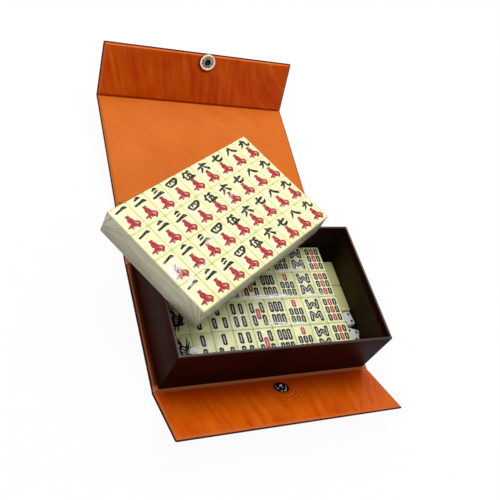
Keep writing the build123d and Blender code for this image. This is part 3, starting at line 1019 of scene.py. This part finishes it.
# sticks of each tile: x and y of the middle, length, and 1 if red; all in millimetres
bamboo = {
    2: [(0, 5.2, 8.9, 0), (0, -5.2, 8.9, 0)],
    3: [(0, 5.2, 8.9, 0), (-4.2, -5.2, 8.9, 0), (4.2, -5.2, 8.9, 0)],
    4: [(x, y, 8.9, 0) for x in (-3.1, 3.1) for y in (-5.2, 5.2)],
    5: [(x, y, 8.9, 0) for x in (-4.2, 4.2) for y in (-5.2, 5.2)] + [(0, 0, 8.9, 1)],
    6: [(x, y, 8.9, 0) for x in (-4.0, 0, 4.0) for y in (-5.2, 5.3)],
    7: [(x, y, 5.9, 0) for x in (-4.25, 0, 4.25) for y in (-6.3, 0.2)] + [(0, 7.1, 6.1, 1)],
    9: [(x, y, 5.9, int(x == 0)) for x in (-4.3, 0, 4.3) for y in (-6.8, 0, 6.7)],
}
# the eight is drawn as a W over an M, each of four sticks given by their two tips
eight = [
    ((-4.5, 10.0), (-3.6, 1.0)), ((-4.0, 1.6), (0.4, 7.2)),
    ((-0.4, 7.2), (4.0, 1.6)), ((4.4, 10.0), (3.6, 1.0)),
    ((-4.5, -9.2), (-3.6, -0.2)), ((-4.0, -0.8), (0.4, -6.2)),
    ((-0.4, -6.2), (4.0, -0.8)), ((4.4, -9.2), (3.6, -0.2)),
]
stick_width = 3.55
eight_width = 3.0
slit_width = 0.8
slit_share = 0.66


def stick_path(start, end, width):
    """A straight stick with rounded ends, as brush points on a field of ten millimetres."""
    start = Vector(start)
    end = Vector(end)
    way = (end - start).normalized()
    tip = ((0.0, 0.45), (0.35, 0.82), (0.95, 1.0))
    points = [(start + way * reach, share) for reach, share in tip]
    points += [(end - way * reach, share) for reach, share in reversed(tip)]
    return [(point.x + 5, point.y + 5, width * share) for point, share in points]


def add_marks(name, curves, place, body, material, lift=mark_lift):
    """Joins curves of strokes into one thin mesh on the tiles' faces."""
    bm = bmesh.new()
    for curve in curves:
        shape = bpy.data.objects.new("strokes", curve)
        flat = bpy.data.meshes.new_from_object(shape)
        bm.from_mesh(flat)
        bpy.data.objects.remove(shape)
        bpy.data.meshes.remove(flat)
        bpy.data.curves.remove(curve)
    bmesh.ops.scale(bm, vec=(1, 1, mark_thickness), verts=bm.verts)
    bmesh.ops.translate(bm, vec=(0, 0, tile_top + lift), verts=bm.verts)
    bmesh.ops.transform(bm, matrix=place, verts=bm.verts)
    bmesh.ops.recalc_face_normals(bm, faces=bm.faces)
    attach(make_piece(name, bm, material, smooth=False), body)


tile_centres = [
    (column, ((column - 4) * tile_pitch[0], (row - 1.5) * tile_pitch[1]))
    for row in range(4)
    for column in range(9)
]
black_marks = []
red_marks = []
for column, (x, y) in tile_centres:
    black_marks.append(brush(numerals[column], (x + 0.5, y + 7.1), (11.2, 7.2), 1.36))
    red_marks.append(brush(ten_thousand, (x + 0.3, y - 3.9), (11.6, 12.0), 1.34))
add_marks("top_pack_numerals", black_marks, top_place, "top_pack", black_paint)
add_marks("top_pack_characters", red_marks, top_place, "top_pack", red_paint)

slit_paint = paint("pale_slits", (196, 196, 196), (216, 216, 206))
marks = {"sticks": [], "red_sticks": [], "slits": []}
for column, (x, y) in tile_centres:
    if column == 0:
        marks["sticks"].append(brush(bird, (x, y), (12.6, 18.6), 1.35))
        continue
    if column == 7:
        rods = [(*tips, eight_width, 0) for tips in eight]
    else:
        rods = [
            ((rod_x, rod_y + length / 2), (rod_x, rod_y - length / 2), stick_width, red)
            for rod_x, rod_y, length, red in bamboo[column + 1]
        ]
    for red, group in ((0, "sticks"), (1, "red_sticks")):
        paths = [stick_path(*rod[:3]) for rod in rods if rod[3] == red]
        if paths:
            marks[group].append(brush(paths, (x, y), (10, 10), kind="POLY"))
    slits = []
    for start, end, width, red in rods:
        start, end = Vector(start), Vector(end)
        trim = (end - start) * (1 - slit_share) / 2
        slits.append(stick_path(start + trim, end - trim, slit_width))
    marks["slits"].append(brush(slits, (x, y), (10, 10), kind="POLY"))
add_marks("lower_pack_sticks", marks["sticks"], lower_place, "lower_pack", navy_paint)
add_marks("lower_pack_red_sticks", marks["red_sticks"], lower_place, "lower_pack", scarlet_paint)
add_marks("lower_pack_slits", marks["slits"], lower_place, "lower_pack", slit_paint, 0.036)

# ------------------------------------------------------------ shrink film
# Each pack is sealed in clear shrink film. It is drawn tight over the tiles and gathers in fans of
# fine folds at the corners.


def clear_film(name, glints):
    """Clear film: see-through with a sheen on top, with white crinkles painted on top as
    highlights, and clouded on the sides, where several layers are folded into fans, with painted
    shade between the folds and towards the bottom and painted highlight on the folds."""
    finish = Finish(name)
    pack_mm = finish.node("Attribute", {"attribute_name": "pack_mm"}, {}, "Vector")
    x, y, z = (
        finish.node("SeparateXYZ", {}, {"Vector": pack_mm}, axis) for axis in ("X", "Y", "Z")
    )
    to_end = pack_half[0] - x.math("ABSOLUTE", x)
    to_side = pack_half[1] - y.math("ABSOLUTE", y)
    reach = to_end.math("MAXIMUM", to_end, to_side)
    angle = z.math("ARCTAN2", z - 3.0, reach + 2.0)
    spread = finish.node("CombineXYZ", {}, {
        "X": angle * 9.0, "Y": x.math("SIGN", x) * 3.0 + y.math("SIGN", y) * 7.0, "Z": reach * 0.02
    })
    fan = finish.cloud(spread, 1.0, 3.0, 0.6)
    near = reach.math("POWER", 2.718, reach / -24.0)
    layers = finish.cloud(finish.stretched(pack_mm, (0.03, 0.03, 0.3)), 1.0, 3.0, 0.6, 0.5)
    side = 1 - finish.fade(z, pack_height - 0.7, pack_height - 0.1)
    folds = finish.fade(fan * near + layers * (1 - near), 0.35, 0.62)
    cloudy = side * (0.72 + 0.2 * folds)
    bright = 0.0
    # glints: white crinkles painted as highlights on the top
    for glint_x, glint_y, turn, half_length, half_width, strength in glints:
        moved = finish.node(
            "Mapping", {}, {"Vector": pack_mm, "Location": (-glint_x, -glint_y, 0)}
        )
        scale = (1 / half_length, 1 / half_width, 0)
        from_middle = finish.node(
            "VectorMath", {"operation": "LENGTH"}, {0: finish.stretched(moved, scale, -turn)}, 1
        )
        grain = finish.stretched(moved, (0.16, 1.1, 0), -turn)
        crinkle = finish.fade(finish.cloud(grain, 1.0, 4.0, 0.65, 0.5), 0.4, 0.56)
        bright = bright + (1 - finish.fade(from_middle, 0.3, 1.0)) * crinkle * strength
    whole = cloudy.math("MINIMUM", cloudy + bright, 1.0)
    waves = finish.cloud(pack_mm, 0.16, 4.0, 0.6, 0.6)
    normal = finish.bump(waves + fan * side, 0.25, 0.0006)
    # painted shade: the sides darker and browner towards the bottom
    low = 1 - finish.fade(z, 1.0, 15.0)
    colour = finish.mix(low * 0.8, shade(208, 203, 178), shade(138, 124, 92))
    # painted shade between the folds near the corners, and painted highlight on the folds
    colour = finish.mix((1 - folds) * near * 0.5, colour, shade(110, 92, 60))
    colour = finish.mix(folds * near * 0.35, colour, shade(226, 222, 204))
    # the top's white shows only through the glints: their painted highlight colour
    colour = finish.mix(1 - side, colour, shade(250, 250, 250))
    finish.skin(Base_Color=colour, Roughness=0.2, Specular_IOR_Level=0.4, Normal=normal)
    body = Value(finish, finish.tree.nodes["Principled BSDF"].outputs[0])
    clear = finish.node("BsdfTransparent", {}, {"Color": shade(252, 252, 248)})
    gloss = finish.node("BsdfGlossy", {}, {
        "Color": shade(255, 255, 255), "Roughness": 0.08, "Normal": normal})
    edge_on = finish.node("Fresnel", {}, {"IOR": 1.45, "Normal": normal})
    thin = finish.node("MixShader", {}, {0: edge_on * 0.2, 1: clear, 2: gloss})
    mixed = finish.node("MixShader", {}, {0: whole, 1: thin, 2: body})
    finish.feed(finish.tree.nodes["Material Output"], {"Surface": mixed})
    return finish.owner


# glints: x and y of the middle, turn in degrees, half length, half width and strength
glints = {
    "lower": (
        (6.0, 2.5, 1.0, 34.0, 2.4, 1.7), (-57.0, -36.0, 20.0, 6.0, 3.2, 1.3),
        (-24.0, 4.8, 12.0, 20.0, 1.6, 1.4), (22.0, -20.6, -2.0, 26.0, 1.3, 1.0),
        (40.0, 26.0, 4.0, 22.0, 1.3, 1.0), (52.0, 2.6, 2.0, 14.0, 1.2, 1.0),
    ),
    "top": (
        (-70.0, -12.0, 86.0, 13.0, 3.0, 1.0), (-65.0, -12.0, 45.0, 12.0, 6.0, 0.75),
        (-62.0, -24.0, 45.0, 9.0, 3.4, 0.7), (-29.0, -9.5, 18.0, 6.0, 3.4, 0.5),
        (-46.0, -22.0, 40.0, 8.0, 1.6, 0.5), (20.0, 12.0, 30.0, 9.0, 2.0, 0.6),
        (48.0, -20.0, -20.0, 8.0, 1.4, 0.6),
    ),
}

for pack, (place, body, _) in packs.items():
    bm = bmesh.new()
    bmesh.ops.create_cube(bm, size=1.0)
    bmesh.ops.scale(bm, vec=(2 * pack_half[0], 2 * pack_half[1], pack_height), verts=bm.verts)
    bmesh.ops.translate(bm, vec=(0, 0, pack_height / 2), verts=bm.verts)
    bmesh.ops.bevel(
        bm, geom=bm.edges, offset=0.8, segments=2, profile=0.5, affect="EDGES", material=-1
    )
    for axis, count in ((0, 45), (1, 30), (2, 8)):
        low = min(v.co[axis] for v in bm.verts) + 0.8
        high = max(v.co[axis] for v in bm.verts) - 0.8
        for step in range(count + 1):
            spot = Vector((0, 0, 0))
            spot[axis] = low + (high - low) * step / count
            normal = Vector((0, 0, 0))
            normal[axis] = 1
            bmesh.ops.bisect_plane(
                bm, geom=bm.verts[:] + bm.edges[:] + bm.faces[:], dist=1e-5,
                plane_co=spot, plane_no=normal,
            )
    spots = [tuple(vert.co) for vert in bm.verts]
    for vert in bm.verts:
        x, y, z = vert.co
        slack = 0.2 * max(0.0, noise.noise((x / 14, y / 14, z / 7)))
        if abs(x) > pack_half[0] - 0.01:
            vert.co.x += math.copysign(slack, x)
        elif abs(y) > pack_half[1] - 0.01:
            vert.co.y += math.copysign(slack, y)
    bmesh.ops.transform(bm, matrix=place, verts=bm.verts)
    film_finish = clear_film(f"shrink_film_{pack}", glints[pack])
    film = make_piece(f"{pack}_pack_shrink_film", bm, film_finish)
    attribute = film.data.attributes.new("pack_mm", "FLOAT_VECTOR", "POINT")
    attribute.data.foreach_set("vector", [value for spot in spots for value in spot])
    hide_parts(f"{pack}_pack_film")
    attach(film, body)

# ------------------------------------------------------------ spare tiles and dice
# Two blank spare tiles and two small dice lie loose at the tray's right end.

spare_x = 74.625
for number, spare_y in ((1, 26.825), (2, 3.125)):
    bm = bmesh.new()
    add_tile(bm, spare_x, spare_y, 6.05 + tile_size[2] / 2)
    bmesh.ops.transform(bm, matrix=Matrix.Scale(mm, 4), verts=bm.verts)
    spare = make_piece(f"blank_tile_{number}", bm, shaded_spare_tile_finish)
    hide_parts(f"spare_tile_{number}")
    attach(spare, f"spare_tile_{number}")

die_size = 12.0
die_rounding = 1.5
pip_radius = 1.15
pip_spread = 3.1


def die_plastic(name):
    finish = Finish(name)
    mottle = finish.cloud(finish.place(), 300.0, 3.0)
    return finish.skin(
        Base_Color=finish.mix(mottle, shade(240, 241, 236), shade(226, 228, 222)), Roughness=0.3
    )


die_finish = die_plastic("die_plastic")
pip_places = {
    1: [(0, 0)],
    2: [(-1, -1), (1, 1)],
    3: [(-1, -1), (0, 0), (1, 1)],
    4: [(-1, -1), (-1, 1), (1, -1), (1, 1)],
    5: [(-1, -1), (-1, 1), (1, -1), (1, 1), (0, 0)],
    6: [(-1, -1), (-1, 0), (-1, 1), (1, -1), (1, 0), (1, 1)],
}
sides = (
    (4, Matrix.Identity(4)),
    (3, Matrix.Rotation(math.pi, 4, "X")),
    (2, Matrix.Rotation(math.pi / 2, 4, "X")),
    (5, Matrix.Rotation(-math.pi / 2, 4, "X")),
    (1, Matrix.Rotation(math.pi / 2, 4, "Y")),
    (6, Matrix.Rotation(-math.pi / 2, 4, "Y")),
)
for number, (die_y, die_turn) in enumerate(((-16.475, 8.0), (-30.975, -20.0)), 1):
    place = (
        Matrix.Translation((75.0 * mm, die_y * mm, (6.05 + die_size / 2) * mm))
        @ Matrix.Rotation(math.radians(die_turn), 4, "Z")
        @ Matrix.Scale(mm, 4)
    )
    bm = bmesh.new()
    bmesh.ops.create_cube(bm, size=die_size)
    bmesh.ops.bevel(
        bm, geom=bm.edges, offset=die_rounding, segments=4, profile=0.5, affect="EDGES", material=-1
    )
    bmesh.ops.transform(bm, matrix=place, verts=bm.verts)
    die = make_piece(f"die_{number}_cube", bm, die_finish)
    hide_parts(f"die_{number}")
    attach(die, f"die_{number}")
    bm = bmesh.new()
    for count, turn in sides:
        for px, py in pip_places[count]:
            bmesh.ops.create_cone(
                bm, cap_ends=True, segments=20, radius1=pip_radius, radius2=pip_radius * 0.9,
                depth=0.06,
                matrix=turn @ Matrix.Translation((px * pip_spread, py * pip_spread, die_size / 2)),
            )
    bmesh.ops.transform(bm, matrix=place, verts=bm.verts)
    pips = make_piece(f"die_{number}_pips", bm, navy_paint)
    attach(pips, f"die_{number}")
